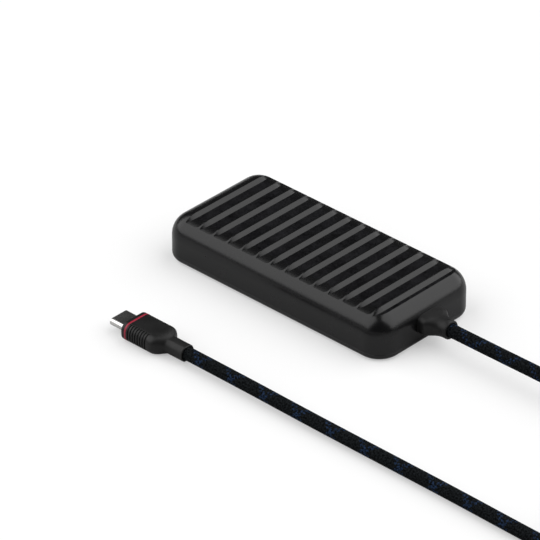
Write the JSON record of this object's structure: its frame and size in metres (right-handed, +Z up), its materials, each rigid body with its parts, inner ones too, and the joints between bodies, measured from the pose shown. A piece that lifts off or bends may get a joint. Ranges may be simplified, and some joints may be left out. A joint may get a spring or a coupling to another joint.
{
  "type": "laptop power adapter",
  "caption": "Slim ribbed-top laptop power adapter with a figure-8 mains inlet, a captive braided cord and a USB-C plug.",
  "frame": {"origin": "bottom centre of the case, on the surface it rests on", "axes": "+X along the case towards its cord end, +Y across the case away from the plug, +Z up"},
  "size_m": [0.2602, 0.0905, 0.0162],
  "materials": {
    "case_plastic": "fine matt moulded polycarbonate blend, black, textured in the pockets",
    "inlet_plastic": "black moulded nylon",
    "plated_pins": "nickel-plated brass pins",
    "tinned_copper": "tinned copper tabs",
    "circuit_board": "green solder mask over glass-fibre laminate",
    "clear_film": "milky polyester film",
    "capacitor_sleeve": "dark shrink sleeve on an aluminium can",
    "ferrite": "dark grey sintered ferrite",
    "bobbin_plastic": "phenolic moulding",
    "enamelled_copper": "enamelled copper wire",
    "yellow_case": "yellow moulded box",
    "fuse_ceramic": "white ceramic tube",
    "chip_epoxy": "black moulding compound",
    "opto_epoxy": "white moulding compound",
    "disc_coating": "blue epoxy dip",
    "bare_can": "bare aluminium cans",
    "copper_sheet": "rolled copper",
    "thermal_silicone": "soft filled silicone",
    "soft_moulding": "black soft moulded elastomer",
    "wire_insulation": "PVC insulation",
    "stainless_shell": "drawn stainless steel",
    "liquid_crystal_polymer": "black high-temperature plastic",
    "gold_plating": "gold-plated copper alloy",
    "inner_mould_plastic": "low-pressure polyamide moulding",
    "red_elastomer": "red elastomer inlay",
    "braided_sheath": "black braid with dark blue tracer yarns",
    "strap_fabric": "black hook-and-loop strap"
  },
  "bodies": {
    "root": {"top_cover": "case_plastic", "bottom_cover": "case_plastic", "inlet_body": "inlet_plastic", "inlet_pins": "plated_pins", "inlet_leads": "tinned_copper", "main_board": "circuit_board", "insulation_sheet": "clear_film", "bulk_capacitors": "capacitor_sleeve", "capacitor_leads": "tinned_copper", "transformer_core": "ferrite", "transformer_bobbin": "bobbin_plastic", "transformer_winding": "enamelled_copper", "choke_core": "ferrite", "choke_windings": "enamelled_copper", "film_capacitor": "yellow_case", "mains_fuse": "fuse_ceramic", "bridge_rectifier": "chip_epoxy", "primary_switch": "chip_epoxy", "optocoupler": "opto_epoxy", "y_capacitor": "disc_coating", "output_capacitors": "bare_can", "controller_chips": "chip_epoxy", "heat_spreader": "copper_sheet", "thermal_pad": "thermal_silicone", "cord_gland": "soft_moulding", "output_wires": "wire_insulation", "plug_shell": "stainless_shell", "plug_insulator": "liquid_crystal_polymer", "plug_contacts": "gold_plating", "plug_board": "circuit_board", "plug_inner_mould": "inner_mould_plastic", "cord_ferrule": "tinned_copper", "plug_overmould": "soft_moulding", "plug_ring": "red_elastomer", "cord_body_run": "braided_sheath", "cord_plug_run": "braided_sheath", "cord_coil": "braided_sheath", "cord_tie": "strap_fabric"}
  },
  "joints": []
}
